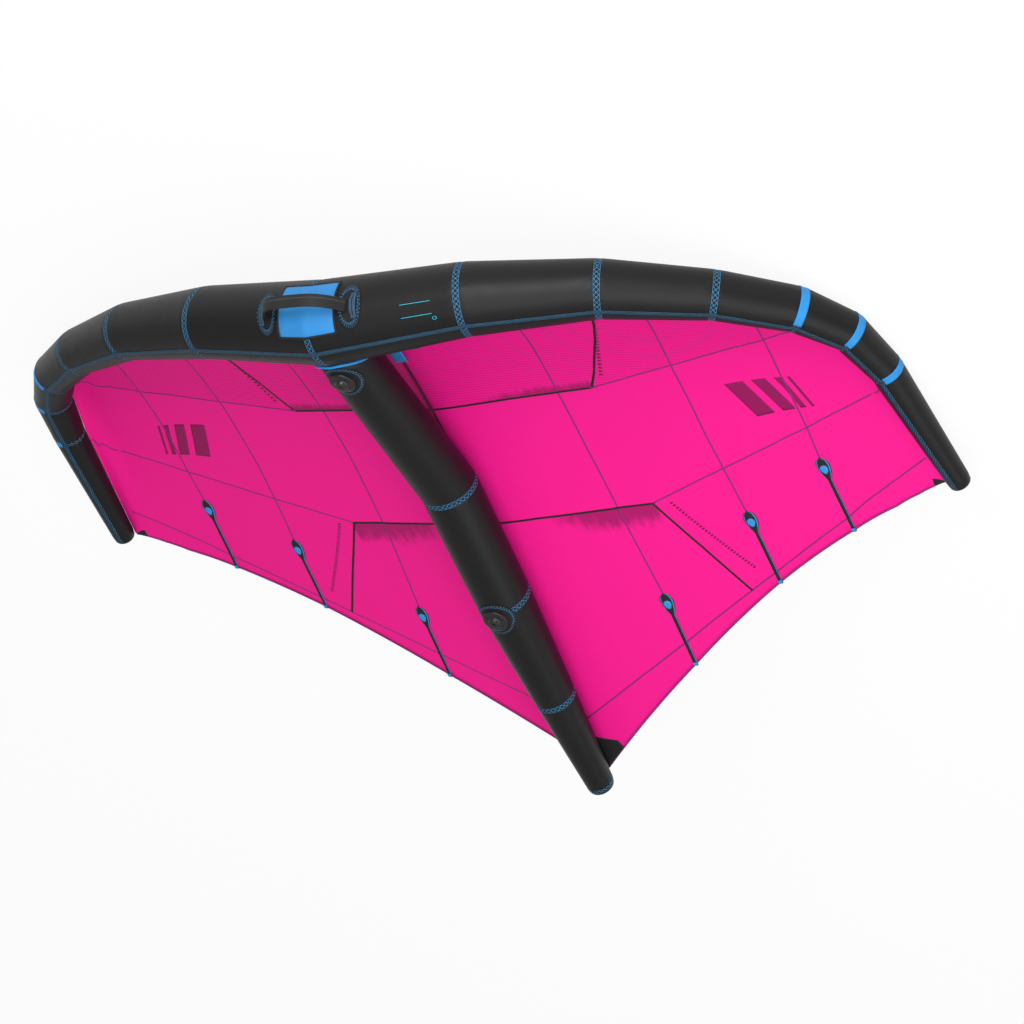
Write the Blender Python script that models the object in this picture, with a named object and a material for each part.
"""Inflatable wing for foil boards, parked belly side up on its two curved tips.

Everything is first placed in the wing's own axes: X along the span, Y forward to the nose, Z towards
the crowned side of the canopy. The wing_rest empty then turns the wing over onto its tips and sets it
on the ground. Sizes are in metres and angles in degrees.
"""
import math

import bmesh
import bpy
from mathutils import Matrix, Vector

# Driving sizes, measured from the middle of the nose ring
HALF_SPAN = 1.540
STRUT_LENGTH = 2.134

# Leading edge tube
TIP_SWEEP_SHARE = 0.559
TIP_SWEEP = STRUT_LENGTH * TIP_SWEEP_SHARE
TIP_RISE = 0.382
LE_RADIUS = 0.131
LE_WALL = 0.0020
TIP_CAP_DEPTH = 0.014
CAP_INSET_SHARES = (0.0, 0.05, 0.20, 0.50)
CAP_DEPTH_SHARES = (0.0, 0.55, 0.90, 1.0)
RING_SPAN_SHARES = (0.0, 0.297, 0.546, 0.740, 0.869, 0.936, 0.966, 1.0)
RING_SWEEP_SHARES = (0.0, 0.014, 0.083, 0.194, 0.311, 0.427, 0.580, 1.0)
RING_RISE_SHARES = (0.0, 0.184, 0.414, 0.622, 0.788, 0.892, 0.954, 1.0)
RING_RADIUS_SHARES = (1.0, 0.860, 0.693, 0.584, 0.538, 0.478, 0.410, 0.279)

# Centre strut
STRUT_RISE = 0.1215
STRUT_RADIUS = 0.095
STRUT_WALL = 0.0020
STRUT_CAP_DEPTH = 0.016
STRUT_LENGTH_SHARES = (0.0, 0.170, 0.385, 0.600, 0.808, 1.0)
STRUT_RISE_SHARES = (0.06, 0.385, 1.0, 0.719, 0.541, 0.385)
STRUT_RADIUS_SHARES = (0.965, 0.965, 1.0, 0.958, 0.726, 0.477)
STRUT_JOINT_PIPE_RADIUS = 0.0045

# Canopy, one sheet cut into panels along its sewn lines
CANOPY_CHORD_SHARE = 0.985
CANOPY_CHORD = STRUT_LENGTH * CANOPY_CHORD_SHARE
CANOPY_CAMBER = 0.138
CANOPY_THICKNESS = 0.0012
TRAILING_RISE = 0.390
CANOPY_SEAT_ANGLES = (120.0, 135.0, 135.0, 135.0, 135.0, 135.0, 150.0, 150.0)
TRAILING_SPAN_SHARES = (0.0, 0.297, 0.547, 0.741, 0.848, 0.902, 0.936, 0.968)
TRAILING_SWEEP_SHARES = (1.0, 0.834, 0.707, 0.634, 0.601, 0.585, 0.575, 0.567)
TRAILING_RISE_SHARES = (0.277, 0.527, 0.738, 0.881, 0.938, 0.969, 0.985, 0.992)
CAMBER_SHARES = (0.93, 0.87, 0.63, 0.49, 0.35, 0.20, 0.08, 0.0)
FRONT_SEAM_SHARES = (0.268, 0.313, 0.312, 0.249, 0.03, 0.0, 0.0, 0.0)
MIDDLE_SEAM_SHARES = (0.507, 0.608, 0.640, 0.600, 0.454, 0.27, 0.05, 0.0)
CAMBER_POWER_SHARE = 0.6
FRONT_ROW_SHARES = (0.0, 0.06, 0.2, 0.45, 0.72, 1.0)
EVEN_ROW_SHARES = (0.0, 0.25, 0.5, 0.75, 1.0)

# Centre web, the fabric profile between the strut and the canopy
WEB_THICKNESS = 0.0020
WEB_START_SHARE = 0.085
WEB_END_SHARE = 0.93

# Battens at the trailing edge and the sleeves that hold them
BATTEN_WIDTH = 0.007
BATTEN_THICKNESS = 0.0020
BATTEN_LENGTH = 0.262
BATTEN_TAIL_SETBACK = 0.006
SLEEVE_WIDTH = 0.012
SLEEVE_THICKNESS = 0.0016
SLEEVE_HEAD_WIDTH = 0.040
SLEEVE_HEAD_LENGTH = 0.082
BATTEN_STATIONS = (1, 2, 3)
HEAD_WIDTH_SHARES = (0.35, 0.78, 1.0, 0.92, 0.62, 0.32)
HEAD_PLACE_SHARES = (0.0, 0.12, 0.32, 0.55, 0.80, 1.0)
HEAD_LEAD_SHARE = 0.333
BATTEN_STEPS = 5
SLEEVE_STEPS = 4

# Mount plates on the strut's belly line, with their sewn patches
PLATE_RADIUS = 0.042
PLATE_HEIGHT = 0.006
PLATE_BOSS_HEIGHT = 0.018
PLATE_BOSS_RADIUS = 0.015
PLATE_BOSS_FOOT_SHARE = 1.3
PLATE_HOLE_RADIUS = 0.0060
PLATE_SCREW_RADIUS = 0.0025
PLATE_INSERT_RECESS = 0.0020
PATCH_RADIUS = 0.065
PATCH_THICKNESS = 0.0012
FRONT_PLATE_PLACE_SHARE = 0.0834
REAR_PLATE_PLACE_SHARE = 0.6073

# Nose pad and front handle on the leading edge
PAD_THICKNESS = 0.0030
PAD_UPPER_ANGLE = 10.0
PAD_LOWER_ANGLE = -67.0
PAD_COLUMN_SHARES = (-1.0, -0.5, 0.0, 0.5, 1.0)
PAD_STEPS = 12
HANDLE_HALF_SPAN = 0.130
HANDLE_ANGLE = -33.0
HANDLE_RISE = 0.092
HANDLE_SEAT_HEIGHT = 0.0065
HANDLE_TAB_LENGTH = 0.016
HANDLE_TAB_HEIGHT = 0.0125
HANDLE_WIDTH = 0.040
HANDLE_THICKNESS = 0.0055
HANDLE_STEPS = 14
HANDLE_ARCH_POWER = 4.0
TAB_LENGTH_SHARES = (0.0, 0.6, 1.0)
TAB_HEIGHT_SHARES = (1.0, 0.8, 0.25)
ANCHOR_OUT_SHARE = 1.07
ANCHOR_OUT = HANDLE_HALF_SPAN * ANCHOR_OUT_SHARE
ANCHOR_HALF_WIDTH = 0.036
PAD_CLEARANCE = 0.009
PAD_HALF_WIDTH = ANCHOR_OUT - ANCHOR_HALF_WIDTH - PAD_CLEARANCE
ANCHOR_HALF_HEIGHT = 0.0765
ANCHOR_ANGLE = -32.5
ANCHOR_THICKNESS = 0.0012

# Inflation valve on the back of the leading edge, left of the strut
VALVE_OUT = 0.250
VALVE_ANGLE = 185.0
VALVE_NECK_RADIUS = 0.0160
VALVE_BORE_RADIUS = 0.0110
VALVE_NECK_DEPTH = 0.012
VALVE_COLLAR_RADIUS = 0.0240
VALVE_COLLAR_HEIGHT = 0.0045
VALVE_PLUG_DEPTH = 0.010
VALVE_PLUG_RIM = 0.0016
VALVE_CAP_HEIGHT = 0.0075
CAP_ROOF_SHARE = 0.5
CAP_SHOULDER_SHARE = 0.75
CAP_TOP_SHARE = 0.85
HOLE_REACH_SHARE = 0.5
VALVE_HOSE_RADIUS = 0.0110
VALVE_HOSE_WALL = 0.0022

# Bladders
BLADDER_WALL = 0.0010
STRUT_BLADDER_START_SHARE = 0.12

# Fits and mesh fineness
SEAM_GAP = 0.0003
SEAT_GAP = 0.0006
PATCH_GAP = 0.0009
FIT_GAP = 0.0004
TUBE_SIDES = 24
BLADDER_SIDES = 12
ROUND_SIDES = 20
PIPE_SIDES = 6
PATCH_RINGS = 5
PATCH_SIDES = 24
SHARP_ANGLE = 40.0

SPAN_AXIS = Vector((1, 0, 0))
UP_AXIS = Vector((0, 0, 1))
LAST_RING = len(RING_SPAN_SHARES) - 1
SIDES = {"left": -1, "right": 1}

COLOURS = {
    "tube_fabric": ((0.020, 0.020, 0.021), 0.55, 0.0),
    "canopy_fabric": ((0.95, 0.015, 0.30), 0.45, 0.0),
    "bladder_film": ((0.60, 0.62, 0.62), 0.35, 0.0),
    "patch_fabric": ((0.018, 0.018, 0.019), 0.75, 0.0),
    "blue_piping": ((0.06, 0.30, 0.75), 0.50, 0.0),
    "pad_foam": ((0.09, 0.38, 0.90), 0.60, 0.0),
    "handle_webbing": ((0.016, 0.016, 0.017), 0.80, 0.0),
    "black_plastic": ((0.025, 0.025, 0.026), 0.45, 0.0),
    "batten_fibre": ((0.75, 0.74, 0.68), 0.40, 0.0),
    "brass": ((0.75, 0.55, 0.25), 0.30, 1.0),
    "valve_plastic": ((0.05, 0.05, 0.055), 0.40, 0.0),
    "hose_rubber": ((0.10, 0.10, 0.10), 0.60, 0.0),
}


def clear_scene():
    for obj in list(bpy.data.objects):
        bpy.data.objects.remove(obj)


def make_material(name):
    colour, roughness, metallic = COLOURS[name]
    material = bpy.data.materials.new(name)
    material.use_nodes = True
    shader = material.node_tree.nodes["Principled BSDF"]
    shader.inputs["Base Color"].default_value = (*colour, 1.0)
    shader.inputs["Roughness"].default_value = roughness
    shader.inputs["Metallic"].default_value = metallic
    material.diffuse_color = (*colour, 1.0)
    return material


def material_named(name):
    return bpy.data.materials.get(name) or make_material(name)


def signed_volume(bm):
    total = 0.0
    for face in bm.faces:
        first = face.verts[0].co
        for one, two in zip(face.verts[1:], face.verts[2:]):
            total += first.dot(one.co.cross(two.co))
    return total


def add_object(name, bm, material, pivot=Vector((0, 0, 0)), smooth=True):
    """Closes the mesh's winding, moves its origin to the pivot and parents it to the rest frame."""
    bmesh.ops.recalc_face_normals(bm, faces=bm.faces)
    if signed_volume(bm) < 0:
        bmesh.ops.reverse_faces(bm, faces=bm.faces)
    bmesh.ops.translate(bm, verts=bm.verts, vec=-pivot)
    mesh = bpy.data.meshes.new(name)
    bm.to_mesh(mesh)
    bm.free()
    mesh.materials.append(material_named(material))
    if smooth:
        mesh.shade_smooth()
        mesh.set_sharp_from_angle(angle=math.radians(SHARP_ANGLE))
    obj = bpy.data.objects.new(name, mesh)
    obj.location = pivot
    obj.parent = bpy.data.objects["wing_rest"]
    bpy.context.scene.collection.objects.link(obj)
    return obj


def bridge(bm, first, second, inner=False):
    """Triangles between two closed loops.

    An inner skin's loops come in the opposite order, so its diagonals lean the other way to match.
    """
    for i in range(len(first)):
        j = (i + 1) % len(first)
        if inner:
            bm.faces.new((first[i], first[j], second[i]))
            bm.faces.new((first[j], second[j], second[i]))
        else:
            bm.faces.new((first[i], first[j], second[j]))
            bm.faces.new((first[i], second[j], second[i]))


def add_loop(bm, points):
    return [bm.verts.new(point) for point in points]


def fan(bm, loop, centre):
    tip = bm.verts.new(centre)
    for i, vert in enumerate(loop):
        bm.faces.new((vert, loop[(i + 1) % len(loop)], tip))


def ring_tube(loops):
    """A hollow tube with open ends: the loops run out along the outside and back along the inside."""
    bm = bmesh.new()
    made = [add_loop(bm, points) for points in loops]
    for i, loop in enumerate(made):
        bridge(bm, loop, made[(i + 1) % len(made)], inner=i >= len(made) // 2)
    return bm


def capped_tube(loops, start, end):
    """A solid skin through the loops, closed by a fan at each end."""
    bm = bmesh.new()
    made = [add_loop(bm, points) for points in loops]
    for first, second in zip(made, made[1:]):
        bridge(bm, first, second)
    fan(bm, made[0], start)
    fan(bm, made[-1], end)
    return bm


def sheet_solid(grid, normals, thickness):
    """A sheet of even thickness: the grid of points is its middle surface."""
    bm = bmesh.new()
    layers = []
    for half in (thickness / 2, -thickness / 2):
        layers.append([
            add_loop(bm, [point + normal * half for point, normal in zip(*pair)])
            for pair in zip(grid, normals)
        ])
    rows, columns = len(grid), len(grid[0])
    for r in range(rows - 1):
        for c in range(columns - 1):
            for layer in layers:
                bm.faces.new((layer[r][c], layer[r][c + 1], layer[r + 1][c + 1], layer[r + 1][c]))
    edge = [(0, c) for c in range(columns)]
    edge += [(r, columns - 1) for r in range(1, rows)]
    edge += [(rows - 1, c) for c in range(columns - 2, -1, -1)]
    edge += [(r, 0) for r in range(rows - 2, 0, -1)]
    for (r, c), (s, d) in zip(edge, edge[1:] + edge[:1]):
        bm.faces.new((layers[0][r][c], layers[0][s][d], layers[1][s][d], layers[1][r][c]))
    return bm


def round_patch(place, thickness, rings, sides):
    """A sheet with a round outline: place(share, angle, height) gives its points."""
    bm = bmesh.new()
    layers = []
    for height in (0.0, thickness):
        loops = []
        for k in range(1, rings + 1):
            angles = [math.tau * i / sides for i in range(sides)]
            loops.append(add_loop(bm, [place(k / rings, a, height) for a in angles]))
        for first, second in zip(loops, loops[1:]):
            bridge(bm, first, second)
        fan(bm, loops[0], place(0.0, 0.0, height))
        layers.append(loops)
    bridge(bm, layers[0][-1], layers[1][-1])
    return bm


def ribbon(points, laterals, normals, half_widths, thickness):
    """A flat strap through the points, which lie on its lower face; the normals give its thickness."""
    bm = bmesh.new()
    loops = []
    for point, lateral, normal, half in zip(points, laterals, normals, half_widths):
        low, high = point - lateral * half, point + lateral * half
        loops.append(add_loop(bm, (low, high, high + normal * thickness, low + normal * thickness)))
    for first, second in zip(loops, loops[1:]):
        bridge(bm, first, second)
    bm.faces.new(loops[0])
    bm.faces.new(loops[-1])
    return bm


def turned(profile, centre, axis, sides):
    """A body of revolution from (radius, height) pairs; a radius of zero closes an end."""
    bm = bmesh.new()
    side = axis.orthogonal().normalized()
    other = axis.cross(side)
    loops = []
    for radius, height in profile:
        base = centre + axis * height
        angles = [math.tau * i / sides for i in range(sides)]
        spokes = [side * math.cos(a) + other * math.sin(a) for a in angles]
        loops.append(add_loop(bm, [base + spoke * radius for spoke in spokes]))
    for first, second in zip(loops, loops[1:]):
        bridge(bm, first, second)
    return bm, loops


def solid_turned(profile, centre, axis, sides):
    bm, loops = turned(profile, centre, axis, sides)
    bm.faces.new(loops[0])
    bm.faces.new(loops[-1])
    return bm


def hollow_turned(profile, centre, axis, sides):
    """As a turned body, but the last loop joins the first, which leaves a bore right through."""
    bm, loops = turned(profile, centre, axis, sides)
    bridge(bm, loops[-1], loops[0])
    return bm


# The leading edge's rings


def ring_centre(side, i):
    span = side * HALF_SPAN * RING_SPAN_SHARES[i]
    return Vector((span, -TIP_SWEEP * RING_SWEEP_SHARES[i], TIP_RISE * RING_RISE_SHARES[i]))


def ring_radius(i):
    return LE_RADIUS * RING_RADIUS_SHARES[i]


def ring_axis(side, i):
    """The outboard direction at a ring: square to the plane that halves the bend there."""
    if i == 0:
        return SPAN_AXIS * side
    before = (ring_centre(side, i) - ring_centre(side, i - 1)).normalized()
    if i == LAST_RING:
        return before
    after = (ring_centre(side, i + 1) - ring_centre(side, i)).normalized()
    return (before + after).normalized()


def ring_frame(side, i):
    """The centre, the front or outer direction and the upward direction of a ring."""
    axis = ring_axis(side, i)
    up = (UP_AXIS - axis * axis.z).normalized()
    front = up.cross(axis) * side
    return ring_centre(side, i), front, up


def ring_point(side, i, angle, inset=0.0, shift=0.0):
    """A point on a ring: the angle runs from the front up over the crown."""
    centre, front, up = ring_frame(side, i)
    turn = math.radians(angle)
    radius = ring_radius(i) - inset
    return centre + ring_axis(side, i) * shift + (front * math.cos(turn) + up * math.sin(turn)) * radius


def ring_loop(side, i, sides, inset=0.0, shift=0.0):
    return [ring_point(side, i, 360 * k / sides, inset, shift) for k in range(sides)]


def le_point(side, station, angle, inset=0.0):
    """A point on the tube between two rings."""
    i = min(int(station), LAST_RING - 1)
    start = ring_point(side, i, angle, inset)
    return start.lerp(ring_point(side, i + 1, angle, inset), station - i)


def le_point_at(span, angle, inset=0.0):
    """A point on the innermost panels, by its distance from the centre line."""
    side = -1 if span < 0 else 1
    return le_point(side, abs(span) / (HALF_SPAN * RING_SPAN_SHARES[1]), angle, inset)


def le_normal_at(span, angle):
    """Square to the tube's skin, outwards."""
    step = LE_WALL
    turn = math.degrees(step / LE_RADIUS)
    along = le_point_at(span + step, angle) - le_point_at(span - step, angle)
    around = le_point_at(span, angle + turn) - le_point_at(span, angle - turn)
    normal = along.cross(around).normalized()
    outwards = le_point_at(span, angle) - le_point_at(span, angle + 180)
    return normal if normal.dot(outwards) > 0 else -normal


def add_le_panels():
    for word, side in SIDES.items():
        for i in range(LAST_RING):
            loops = [
                ring_loop(side, i, TUBE_SIDES, 0.0, SEAM_GAP / 2),
                ring_loop(side, i + 1, TUBE_SIDES, 0.0, -SEAM_GAP / 2),
                ring_loop(side, i + 1, TUBE_SIDES, LE_WALL, -SEAM_GAP / 2),
                ring_loop(side, i, TUBE_SIDES, LE_WALL, SEAM_GAP / 2),
            ]
            panel = add_object(f"le_panel_{word}_{i + 1}", ring_tube(loops), "tube_fabric")
            if word == "left" and i == 0:
                cut_round_hole(panel, valve_centre(), valve_axis())


def add_tip_caps():
    for word, side in SIDES.items():
        axis = ring_axis(side, LAST_RING)
        radius = ring_radius(LAST_RING)
        loops = []
        for share, depth in zip(CAP_INSET_SHARES, CAP_DEPTH_SHARES):
            shift = SEAM_GAP / 2 + TIP_CAP_DEPTH * depth
            loops.append(ring_loop(side, LAST_RING, TUBE_SIDES, radius * share, shift))
        start = ring_centre(side, LAST_RING) + axis * (SEAM_GAP / 2)
        cap = capped_tube(loops, start, start + axis * TIP_CAP_DEPTH)
        add_object(f"tip_cap_{word}", cap, "tube_fabric")


def add_le_bladder():
    """One film tube from tip to tip inside the sewn tube."""
    stations = [(-1, i) for i in range(LAST_RING, 0, -1)] + [(1, i) for i in range(LAST_RING + 1)]
    outer = LE_WALL + FIT_GAP
    inner = outer + BLADDER_WALL
    loops = [bladder_loop(side, i, outer) for side, i in stations]
    loops += [bladder_loop(side, i, inner) for side, i in reversed(stations)]
    bladder = add_object("le_bladder", ring_tube(loops), "bladder_film")
    cut_round_hole(bladder, valve_centre(), valve_axis())


def bladder_loop(side, i, inset):
    """The left loops run the same way round as the right ones."""
    return ring_loop(side, i, BLADDER_SIDES, inset, -SEAM_GAP if i == LAST_RING else 0.0)


# The strut's rings


def strut_stop(i):
    return STRUT_LENGTH * STRUT_LENGTH_SHARES[i]


def le_back_at(point, clearance):
    """How far behind the nose ring's middle the tube's skin lies, level with the point."""
    part = abs(point.x) / (HALF_SPAN * RING_SPAN_SHARES[1])
    radius = ring_radius(0) + (ring_radius(1) - ring_radius(0)) * part + clearance
    centre = ring_centre(1, 0).lerp(ring_centre(1, 1), part)
    height = point.z - centre.z
    return -centre.y + math.sqrt(radius**2 - height**2)


def strut_ring_point(i, angle, inset, clearance=SEAT_GAP):
    """A point on one of the strut's rings; the first ring is fitted to the back of the leading edge."""
    turn = math.radians(angle)
    radius = STRUT_RADIUS * STRUT_RADIUS_SHARES[i] - inset
    rise = STRUT_RISE * STRUT_RISE_SHARES[i]
    point = Vector((math.sin(turn) * radius, -strut_stop(i), rise - math.cos(turn) * radius))
    if i == 0:
        point.y = -le_back_at(point, clearance)
    return point


def strut_point(place, angle, inset=0.0):
    """A point on the strut at a distance behind the nose ring's middle.

    The angle runs from the belly line towards the right.
    """
    i = max(k for k in range(len(STRUT_LENGTH_SHARES) - 1) if k == 0 or strut_stop(k) <= place)
    start = strut_ring_point(i, angle, inset)
    end = strut_ring_point(i + 1, angle, inset)
    return start.lerp(end, (place + start.y) / (start.y - end.y))


def strut_loop(place, sides, inset=0.0):
    return [strut_point(place, 360 * k / sides, inset) for k in range(sides)]


def strut_front_loop(inset):
    return [strut_ring_point(0, 360 * k / TUBE_SIDES, inset) for k in range(TUBE_SIDES)]


def strut_belly_normal(place):
    """Square to the strut's belly line, away from the canopy."""
    along = strut_point(place + PLATE_RADIUS, 0) - strut_point(place - PLATE_RADIUS, 0)
    return SPAN_AXIS.cross(along).normalized()


def add_strut_panels():
    last = len(STRUT_LENGTH_SHARES) - 1
    end = strut_stop(2) - SEAM_GAP / 2
    loops = [
        strut_front_loop(0.0),
        strut_loop(strut_stop(1), TUBE_SIDES),
        strut_loop(end, TUBE_SIDES),
        strut_loop(end, TUBE_SIDES, STRUT_WALL),
        strut_loop(strut_stop(1), TUBE_SIDES, STRUT_WALL),
        strut_front_loop(STRUT_WALL),
    ]
    add_object("strut_panel_1", ring_tube(loops), "tube_fabric")
    for i in range(2, last):
        start, end = strut_stop(i) + SEAM_GAP / 2, strut_stop(i + 1) - SEAM_GAP / 2
        loops = [
            strut_loop(start, TUBE_SIDES),
            strut_loop(end, TUBE_SIDES),
            strut_loop(end, TUBE_SIDES, STRUT_WALL),
            strut_loop(start, TUBE_SIDES, STRUT_WALL),
        ]
        add_object(f"strut_panel_{i}", ring_tube(loops), "tube_fabric")


def strut_middle(place):
    return (strut_point(place, 0) + strut_point(place, 180)) / 2


def add_strut_tail_cap():
    radius = STRUT_RADIUS * STRUT_RADIUS_SHARES[-1]
    back = Vector((0, -1, 0))
    loops = []
    for share, depth in zip(CAP_INSET_SHARES, CAP_DEPTH_SHARES):
        shift = back * (SEAM_GAP / 2 + STRUT_CAP_DEPTH * depth)
        loops.append([point + shift for point in strut_loop(STRUT_LENGTH, TUBE_SIDES, radius * share)])
    middle = strut_middle(STRUT_LENGTH)
    start = middle + back * (SEAM_GAP / 2)
    cap = capped_tube(loops, start, start + back * STRUT_CAP_DEPTH)
    add_object("strut_tail_cap", cap, "tube_fabric")


def add_strut_bladder():
    """A film bag with its front end closed; its tail is left open inside the tail cap."""
    outer = STRUT_WALL + FIT_GAP
    inner = outer + BLADDER_WALL
    front = STRUT_LENGTH * STRUT_BLADDER_START_SHARE
    stops = [front] + [strut_stop(i) for i in range(1, len(STRUT_LENGTH_SHARES))]
    stops[-1] -= SEAM_GAP
    bm = bmesh.new()
    outside = [add_loop(bm, strut_loop(place, BLADDER_SIDES, outer)) for place in reversed(stops)]
    stops[0] += BLADDER_WALL
    inside = [add_loop(bm, strut_loop(place, BLADDER_SIDES, inner)) for place in stops]
    for first, second in zip(outside, outside[1:]):
        bridge(bm, first, second, inner=True)
    for first, second in zip(inside, inside[1:]):
        bridge(bm, first, second)
    bridge(bm, inside[-1], outside[0])
    bm.faces.new(outside[-1])
    bm.faces.new(inside[0])
    add_object("strut_bladder", bm, "bladder_film")


def add_transfer_hose():
    """The short hose that lets air through from the leading edge to the strut."""
    place = STRUT_LENGTH * STRUT_BLADDER_START_SHARE
    base = strut_middle(place)
    bore = VALVE_HOSE_RADIUS - VALVE_HOSE_WALL
    nose = le_back_at(base, SEAT_GAP) + VALVE_HOSE_RADIUS**2 / LE_RADIUS - place
    outer = VALVE_HOSE_RADIUS
    profile = [(outer, nose), (outer, -FIT_GAP), (bore, -FIT_GAP), (bore, nose)]
    hose = hollow_turned(profile, base, Vector((0, -1, 0)), ROUND_SIDES)
    add_object("transfer_hose", hose, "hose_rubber")


def add_joint_piping():
    """The round cord sewn into the seam where the strut meets the leading edge."""
    bm = bmesh.new()
    reach = STRUT_JOINT_PIPE_RADIUS + SEAT_GAP
    middle = Vector((0, 0, STRUT_RISE * STRUT_RISE_SHARES[0]))
    loops = []
    for k in range(TUBE_SIDES):
        centre = strut_ring_point(0, 360 * k / TUBE_SIDES, -reach, reach)
        out = Vector((centre.x, 0, centre.z - middle.z)).normalized()
        back = Vector((0, -1, 0))
        turns = [math.tau * i / PIPE_SIDES for i in range(PIPE_SIDES)]
        loops.append(add_loop(bm, [
            centre + (out * math.cos(a) + back * math.sin(a)) * STRUT_JOINT_PIPE_RADIUS for a in turns
        ]))
    for k, loop in enumerate(loops):
        bridge(bm, loop, loops[(k + 1) % len(loops)])
    add_object("strut_joint_piping", bm, "blue_piping")


# The canopy


def canopy_edges(side, i):
    """Where the canopy is sewn to the leading edge, and its trailing edge, at a ring's station."""
    reach = CANOPY_THICKNESS / 2 + SEAM_GAP
    front = ring_point(side, i, CANOPY_SEAT_ANGLES[i], -reach)
    back = Vector((
        side * HALF_SPAN * TRAILING_SPAN_SHARES[i],
        -CANOPY_CHORD * TRAILING_SWEEP_SHARES[i],
        TRAILING_RISE * TRAILING_RISE_SHARES[i],
    ))
    return front, back


def canopy_at_ring(side, i, share):
    """A point on the canopy's middle surface along one chord line."""
    front, back = canopy_edges(side, i)
    lift = CANOPY_CAMBER * CAMBER_SHARES[i] * math.sin(math.pi * share**CAMBER_POWER_SHARE)
    return front.lerp(back, share) + UP_AXIS * lift


def canopy_neighbours(side, i, share):
    """The points level with this one on the chord lines to either side of it."""
    inner = canopy_at_ring(side, i - 1, share) if i > 0 else canopy_at_ring(-side, 1, share)
    outer = canopy_at_ring(side, min(i + 1, LAST_RING), share)
    return inner, outer


def canopy_normal(side, i, share):
    """Square to the canopy, towards its crown."""
    step = CANOPY_THICKNESS / canopy_chord(side, i)
    behind = canopy_at_ring(side, i, min(share + step, 1.0))
    along = behind - canopy_at_ring(side, i, max(share - step, 0.0))
    inner, outer = canopy_neighbours(side, i, share)
    normal = along.cross(outer - inner).normalized()
    return normal if normal.z > 0 else -normal


def canopy_chord(side, i):
    front, back = canopy_edges(side, i)
    return (back - front).length


def canopy_panel(side, lows, highs, last, rows):
    """One panel between two sewn lines, out to the last ring's station: its points and its normals."""
    grid, normals = [], []
    for i in range(last + 1):
        inset = SEAM_GAP / 2 / canopy_chord(side, i)
        low = lows[i] + (inset if lows[i] > 0 else 0.0)
        high = highs[i] - (inset if highs[i] < 1 else 0.0)
        shares = [low + (high - low) * row for row in rows]
        shift = SPAN_AXIS * (side * SEAM_GAP / 2 if i == 0 else 0.0)
        grid.append([canopy_at_ring(side, i, share) + shift for share in shares])
        normals.append([canopy_normal(side, i, share) for share in shares])
    return grid, normals


def canopy_panels():
    """For each panel: its two sewn lines, its outermost station and its rows."""
    zeros = [0.0] * (LAST_RING + 1)
    ones = [1.0] * (LAST_RING + 1)
    last_front = max(i for i, share in enumerate(FRONT_SEAM_SHARES) if share > 0)
    last_middle = max(i for i, share in enumerate(MIDDLE_SEAM_SHARES) if share > 0)
    return {
        "front": (zeros, FRONT_SEAM_SHARES, last_front, FRONT_ROW_SHARES),
        "middle": (FRONT_SEAM_SHARES, MIDDLE_SEAM_SHARES, last_middle, EVEN_ROW_SHARES),
        "rear": (MIDDLE_SEAM_SHARES, ones, LAST_RING, EVEN_ROW_SHARES),
    }


def add_canopy():
    for word, side in SIDES.items():
        for part, (lows, highs, last, rows) in canopy_panels().items():
            grid, normals = canopy_panel(side, lows, highs, last, rows)
            bm = sheet_solid(grid, normals, CANOPY_THICKNESS)
            add_object(f"canopy_{part}_{word}", bm, "canopy_fabric")


def canopy_centre_line():
    """The points of the canopy's middle surface along the centre line."""
    points = []
    for lows, highs, last, rows in canopy_panels().values():
        grid, _ = canopy_panel(1, lows, highs, last, rows)
        points += grid[0]
    return points


def height_on(line, place):
    """The height of a line of points at a distance behind the nose ring's middle."""
    for first, second in zip(line, line[1:]):
        if -first.y <= place <= -second.y:
            return first.lerp(second, (place + first.y) / (first.y - second.y)).z
    raise ValueError("the place lies outside the line")


def add_centre_web():
    start, end = CANOPY_CHORD * WEB_START_SHARE, CANOPY_CHORD * WEB_END_SHARE
    crown = canopy_centre_line()
    places = [-point.y for point in crown] + [strut_stop(i) for i in range(1, len(STRUT_LENGTH_SHARES))]
    places = sorted([start, end] + [place for place in places if start < place < end])
    half = SPAN_AXIS * (WEB_THICKNESS / 2)
    headroom = CANOPY_THICKNESS / 2 + PATCH_GAP
    bm = bmesh.new()
    loops = []
    for place in places:
        low = strut_point(place, 180, -SEAT_GAP)
        high = Vector((0, -place, height_on(crown, place) - headroom))
        loops.append(add_loop(bm, (low - half, low + half, high + half, high - half)))
    for first, second in zip(loops, loops[1:]):
        bridge(bm, first, second)
    bm.faces.new(loops[0])
    bm.faces.new(loops[-1])
    add_object("centre_web", bm, "tube_fabric")


# Battens and sleeves


def chord_frame(side, i, share):
    """A point on the canopy with its sideways and downward directions."""
    down = -canopy_normal(side, i, share)
    step = CANOPY_THICKNESS / canopy_chord(side, i)
    along = canopy_at_ring(side, i, share) - canopy_at_ring(side, i, share - step)
    return canopy_at_ring(side, i, share), down.cross(along).normalized(), down


def strip_under_canopy(side, i, places, half_widths, depth, thickness):
    frames = [chord_frame(side, i, place) for place in places]
    seat = CANOPY_THICKNESS / 2 + depth
    points = [point + down * seat for point, _, down in frames]
    acrosses = [across for _, across, _ in frames]
    downs = [down for _, _, down in frames]
    return ribbon(points, acrosses, downs, half_widths, thickness)


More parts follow.
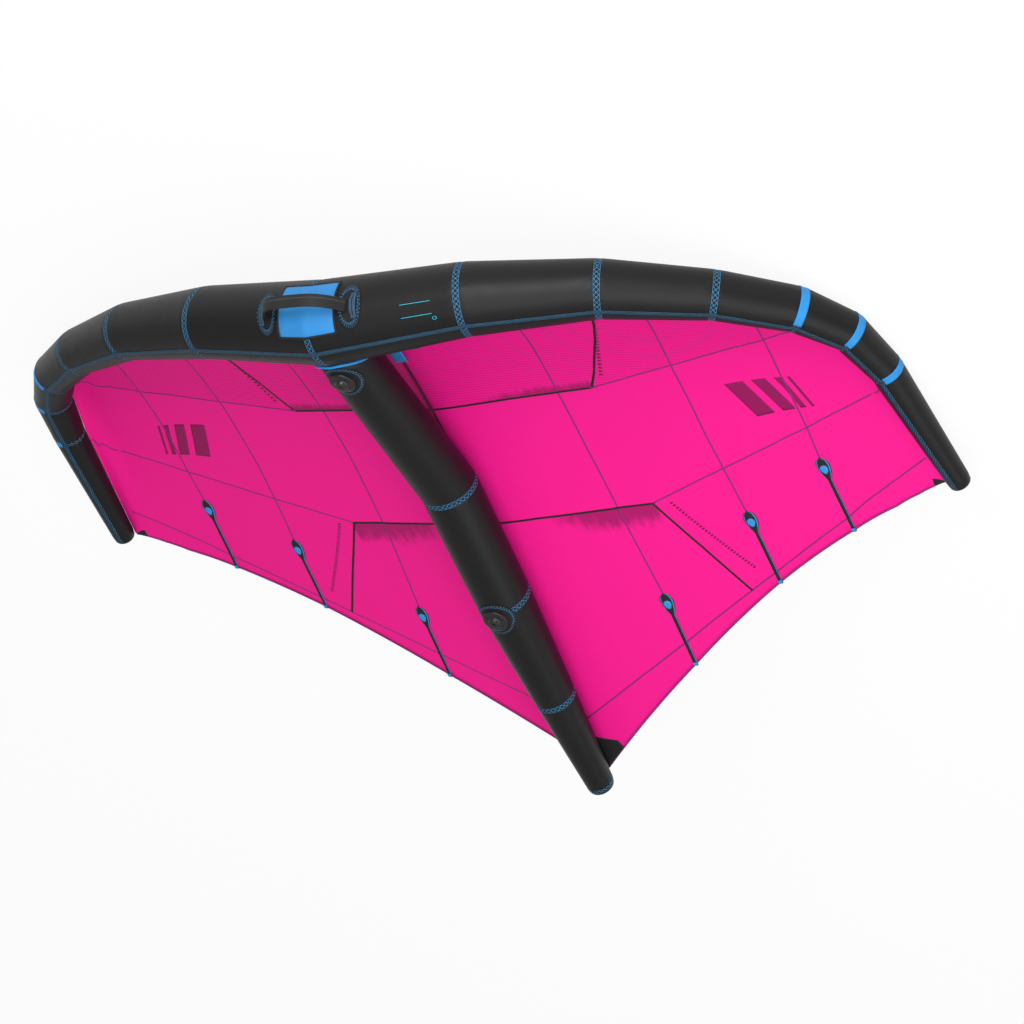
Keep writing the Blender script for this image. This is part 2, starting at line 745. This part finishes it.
def add_battens():
    for word, side in SIDES.items():
        for number, i in enumerate(BATTEN_STATIONS, 1):
            chord = canopy_chord(side, i)
            tail = 1 - BATTEN_TAIL_SETBACK / chord
            front = tail - BATTEN_LENGTH / chord
            places = [front + (tail - front) * k / BATTEN_STEPS for k in range(BATTEN_STEPS + 1)]
            widths = [BATTEN_WIDTH / 2] * len(places)
            bm = strip_under_canopy(side, i, places, widths, SEAM_GAP, BATTEN_THICKNESS)
            add_object(f"batten_{word}_{number}", bm, "batten_fibre", smooth=False)
            add_sleeve(word, side, number, i, front, tail)


def add_sleeve(word, side, number, i, front, tail):
    """The sleeve's round head covers the batten's front end, and its strip runs to the trailing edge."""
    chord = canopy_chord(side, i)
    head = SLEEVE_HEAD_LENGTH / chord
    start = front - head * HEAD_LEAD_SHARE
    places = [start + head * share for share in HEAD_PLACE_SHARES]
    widths = [SLEEVE_HEAD_WIDTH / 2 * share for share in HEAD_WIDTH_SHARES]
    rest = tail - places[-1]
    places += [places[-1] + rest * k / SLEEVE_STEPS for k in range(1, SLEEVE_STEPS + 1)]
    widths += [SLEEVE_WIDTH / 2] * SLEEVE_STEPS
    depth = SEAM_GAP + BATTEN_THICKNESS + FIT_GAP
    bm = strip_under_canopy(side, i, places, widths, depth, SLEEVE_THICKNESS)
    add_object(f"batten_sleeve_{word}_{number}", bm, "patch_fabric", smooth=False)


# Mount plates on the strut


def strut_skin_point(place, reach, angle, height):
    """A point over the strut's skin, at a reach and a direction from a place on its belly line."""
    back = place + reach * math.sin(angle)
    turn = math.degrees(math.asin(reach * math.cos(angle) / STRUT_RADIUS))
    return strut_point(back, turn, -height)


def add_mount_patch(word, place):
    def on_strut(share, angle, height):
        return strut_skin_point(place, PATCH_RADIUS * share, angle, PATCH_GAP + height)

    bm = round_patch(on_strut, PATCH_THICKNESS, PATCH_RINGS, PATCH_SIDES)
    add_object(f"mount_patch_{word}", bm, "patch_fabric")


def add_mount_plate(word, place):
    """A round plate whose back follows the strut, with a raised boss around a screw hole."""
    normal = strut_belly_normal(place)
    along = normal.cross(SPAN_AXIS)
    seat = PATCH_GAP + PATCH_THICKNESS + SEAT_GAP
    crest = strut_point(place, 0, -seat)
    bm = bmesh.new()
    angles = [math.tau * k / PATCH_SIDES for k in range(PATCH_SIDES)]
    backs = []
    for ring in range(1, PATCH_RINGS + 1):
        reach = PLATE_RADIUS * ring / PATCH_RINGS
        backs.append(add_loop(bm, [strut_skin_point(place, reach, a, seat) for a in angles]))
    fronts = []
    for radius, height in (
        (PLATE_RADIUS, PLATE_HEIGHT),
        (PLATE_BOSS_RADIUS * PLATE_BOSS_FOOT_SHARE, PLATE_HEIGHT),
        (PLATE_BOSS_RADIUS, PLATE_BOSS_HEIGHT),
        (PLATE_HOLE_RADIUS, PLATE_BOSS_HEIGHT),
        (PLATE_HOLE_RADIUS, PLATE_HEIGHT),
    ):
        centre = crest + normal * height
        fronts.append(add_loop(bm, [
            centre + (SPAN_AXIS * math.cos(a) + along * math.sin(a)) * radius for a in angles
        ]))
    fan(bm, backs[0], crest)
    for first, second in zip(backs + fronts, (backs + fronts)[1:]):
        bridge(bm, first, second)
    bm.faces.new(fronts[-1])
    add_object(f"mount_plate_{word}", bm, "black_plastic")
    add_mount_insert(word, crest + normal * PLATE_HEIGHT, normal)


def add_mount_insert(word, base, normal):
    outer = PLATE_HOLE_RADIUS - FIT_GAP
    low, high = FIT_GAP, PLATE_BOSS_HEIGHT - PLATE_HEIGHT - PLATE_INSERT_RECESS
    profile = [(outer, low), (outer, high), (PLATE_SCREW_RADIUS, high), (PLATE_SCREW_RADIUS, low)]
    bm = hollow_turned(profile, base, normal, ROUND_SIDES)
    add_object(f"mount_insert_{word}", bm, "brass")


def add_mounts():
    for word, share in (("front", FRONT_PLATE_PLACE_SHARE), ("rear", REAR_PLATE_PLACE_SHARE)):
        add_mount_patch(word, STRUT_LENGTH * share)
        add_mount_plate(word, STRUT_LENGTH * share)


# Nose pad and front handle


def add_nose_pad():
    middle = SEAT_GAP + PAD_THICKNESS / 2
    sweep = PAD_UPPER_ANGLE - PAD_LOWER_ANGLE
    angles = [PAD_LOWER_ANGLE + sweep * k / PAD_STEPS for k in range(PAD_STEPS + 1)]
    grid, normals = [], []
    for share in PAD_COLUMN_SHARES:
        span = share * PAD_HALF_WIDTH
        grid.append([le_point_at(span, angle, -middle) for angle in angles])
        normals.append([(point - le_axis_point(span)).normalized() for point in grid[-1]])
    add_object("nose_pad", sheet_solid(grid, normals, PAD_THICKNESS), "pad_foam")


def le_axis_point(span):
    return (le_point_at(span, 0) + le_point_at(span, 180)) / 2


def add_handle_anchors():
    for word, side in SIDES.items():
        def on_tube(share, angle, height, side=side):
            span = ANCHOR_OUT + ANCHOR_HALF_WIDTH * share * math.cos(angle)
            turn = math.degrees(ANCHOR_HALF_HEIGHT * share * math.sin(angle) / LE_RADIUS)
            return le_point_at(side * span, ANCHOR_ANGLE + turn, -PATCH_GAP - height)

        bm = round_patch(on_tube, ANCHOR_THICKNESS, PATCH_RINGS, PATCH_SIDES)
        add_object(f"handle_anchor_{word}", bm, "patch_fabric")


def handle_seat(span):
    """A point on the anchor's skin under the handle, and the directions out of and round the tube."""
    point = le_point_at(span, HANDLE_ANGLE, -PATCH_GAP - ANCHOR_THICKNESS - SEAT_GAP)
    out = point - le_axis_point(span)
    out = Vector((0, out.y, out.z)).normalized()
    return point, out, out.cross(SPAN_AXIS)


def handle_pivot():
    """The middle of the line through the strap's two ends."""
    end, out, _ = handle_seat(HANDLE_HALF_SPAN)
    return Vector((0, end.y, end.z)) + out * HANDLE_SEAT_HEIGHT


def handle_path():
    """The points along the inside of the strap, and the directions of its thickness."""
    end, out, across = handle_seat(HANDLE_HALF_SPAN)
    points = []
    for k in range(HANDLE_STEPS + 1):
        share = math.sin(math.pi * (k / HANDLE_STEPS - 0.5))
        lift = HANDLE_RISE * (1 - abs(share) ** HANDLE_ARCH_POWER)
        points.append(handle_pivot() + SPAN_AXIS * (share * end.x) + out * lift)
    normals = []
    for before, after in zip(points[:1] + points, points[1:] + points[-1:]):
        normal = across.cross(after - before).normalized()
        normals.append(normal if normal.dot(out) > 0 else -normal)
    return points, normals


def add_handle_tabs():
    """The padded ends of the handle, sewn down on the anchors."""
    points, normals = handle_path()
    start = points[-1].x + normals[-1].x * HANDLE_THICKNESS + SEAT_GAP
    base, out, across = handle_seat(start * HANDLE_HALF_SPAN / points[-1].x)
    half = across * (HANDLE_WIDTH / 2)
    for word, side in SIDES.items():
        bm = bmesh.new()
        loops = []
        for share, height in zip(TAB_LENGTH_SHARES, TAB_HEIGHT_SHARES):
            low = Vector((side * (start + HANDLE_TAB_LENGTH * share), base.y, base.z))
            high = low + out * (HANDLE_TAB_HEIGHT * height)
            loops.append(add_loop(bm, (low - half, low + half, high + half, high - half)))
        for first, second in zip(loops, loops[1:]):
            bridge(bm, first, second)
        bm.faces.new(loops[0])
        bm.faces.new(loops[-1])
        add_object(f"handle_tab_{word}", bm, "handle_webbing")


def add_front_handle():
    """A stiff webbing loop over the pad, held between the tabs."""
    points, normals = handle_path()
    _, _, across = handle_seat(HANDLE_HALF_SPAN)
    count = len(points)
    bm = ribbon(points, [across] * count, normals, [HANDLE_WIDTH / 2] * count, HANDLE_THICKNESS)
    add_object("front_handle", bm, "handle_webbing", handle_pivot())


# Inflation valve


def valve_axis():
    return le_normal_at(-VALVE_OUT, VALVE_ANGLE)


def valve_centre():
    return le_point_at(-VALVE_OUT, VALVE_ANGLE)


def cut_round_hole(target, centre, axis):
    """Cuts the valve neck's hole through a skin."""
    reach = LE_RADIUS * HOLE_REACH_SHARE
    radius = VALVE_NECK_RADIUS + FIT_GAP
    bm = solid_turned([(radius, -reach), (radius, reach)], centre, axis, ROUND_SIDES)
    cutter = add_object(target.name + "_cutter", bm, "black_plastic")
    cutter.hide_render = True
    cutter.display_type = "WIRE"
    cut = target.modifiers.new("valve_hole", "BOOLEAN")
    cut.operation = "DIFFERENCE"
    cut.object = cutter
    cut.solver = "EXACT"


def add_valve():
    centre, axis = valve_centre(), valve_axis()
    collar = SEAT_GAP
    top = collar + VALVE_COLLAR_HEIGHT
    base = hollow_turned(
        [
            (VALVE_NECK_RADIUS, -VALVE_NECK_DEPTH),
            (VALVE_NECK_RADIUS, collar),
            (VALVE_COLLAR_RADIUS, collar),
            (VALVE_COLLAR_RADIUS, top),
            (VALVE_BORE_RADIUS, top),
            (VALVE_BORE_RADIUS, -VALVE_NECK_DEPTH),
        ],
        centre, axis, ROUND_SIDES,
    )
    add_object("valve_base", base, "valve_plastic")
    add_valve_plug(centre, axis, top)
    add_valve_cap(centre, axis, top)


def valve_plug_rim():
    """The plug's rim ends halfway between the bore and the collar's edge."""
    return (VALVE_BORE_RADIUS + VALVE_COLLAR_RADIUS) / 2


def add_valve_plug(centre, axis, top):
    """The one-way insert: a quarter turn frees it to dump the air."""
    shank = VALVE_BORE_RADIUS - FIT_GAP
    rim = valve_plug_rim()
    seat = top + FIT_GAP
    profile = [
        (shank, top - VALVE_PLUG_DEPTH), (shank, seat), (rim, seat), (rim, seat + VALVE_PLUG_RIM),
    ]
    bm = solid_turned(profile, centre, axis, ROUND_SIDES)
    add_object("valve_plug", bm, "valve_plastic", centre + axis * seat)


def add_valve_cap(centre, axis, top):
    """The dust cap sits over the plug and swings on its edge."""
    rim = valve_plug_rim() + FIT_GAP
    low = top + FIT_GAP
    roof = low + VALVE_PLUG_RIM + FIT_GAP
    bm, loops = turned(
        [
            (rim * CAP_ROOF_SHARE, roof), (rim, roof), (rim, low), (VALVE_COLLAR_RADIUS, low),
            (VALVE_COLLAR_RADIUS, low + VALVE_CAP_HEIGHT * CAP_SHOULDER_SHARE),
            (VALVE_COLLAR_RADIUS * CAP_TOP_SHARE, low + VALVE_CAP_HEIGHT),
        ],
        centre, axis, ROUND_SIDES,
    )
    bm.faces.new(loops[0])
    bm.faces.new(loops[-1])
    add_object("valve_cap", bm, "valve_plastic", valve_cap_pivot(centre, axis, low))


def valve_cap_pivot(centre, axis, low):
    """The hinge line touches the collar on the outboard side."""
    outboard = (-SPAN_AXIS - axis * axis.dot(-SPAN_AXIS)).normalized()
    return centre + outboard * (VALVE_COLLAR_RADIUS + VALVE_PLUG_RIM) + axis * low


# The rest pose


def rest_turn():
    """The wing turned over, then tipped until the backs of its fifth and sixth rings are level."""
    fifth, sixth = (ring_centre(1, i).z + ring_radius(i) for i in (5, 6))
    run = ring_centre(1, 5).y - ring_centre(1, 6).y
    return math.pi + math.atan2(sixth - fifth, run)


def add_rest_frame():
    rest = bpy.data.objects.new("wing_rest", None)
    rest.rotation_euler = (rest_turn(), 0.0, 0.0)
    bpy.context.scene.collection.objects.link(rest)


def set_on_ground():
    """Moves the rest frame so that the wing stands on Z = 0, with its box centred on the Z axis."""
    turn = Matrix.Rotation(rest_turn(), 3, "X")
    corners = []
    for obj in bpy.data.objects:
        if obj.type == "MESH" and not obj.hide_render:
            corners += [turn @ (vert.co + obj.location) for vert in obj.data.vertices]
    lows = [min(corner[axis] for corner in corners) for axis in range(3)]
    highs = [max(corner[axis] for corner in corners) for axis in range(3)]
    rest = bpy.data.objects["wing_rest"]
    rest.location = (-(lows[0] + highs[0]) / 2, -(lows[1] + highs[1]) / 2, -lows[2])


def main():
    clear_scene()
    add_rest_frame()
    add_le_panels()
    add_tip_caps()
    add_le_bladder()
    add_strut_panels()
    add_strut_tail_cap()
    add_strut_bladder()
    add_transfer_hose()
    add_joint_piping()
    add_canopy()
    add_centre_web()
    add_battens()
    add_mounts()
    add_nose_pad()
    add_handle_anchors()
    add_handle_tabs()
    add_front_handle()
    add_valve()
    set_on_ground()


main()
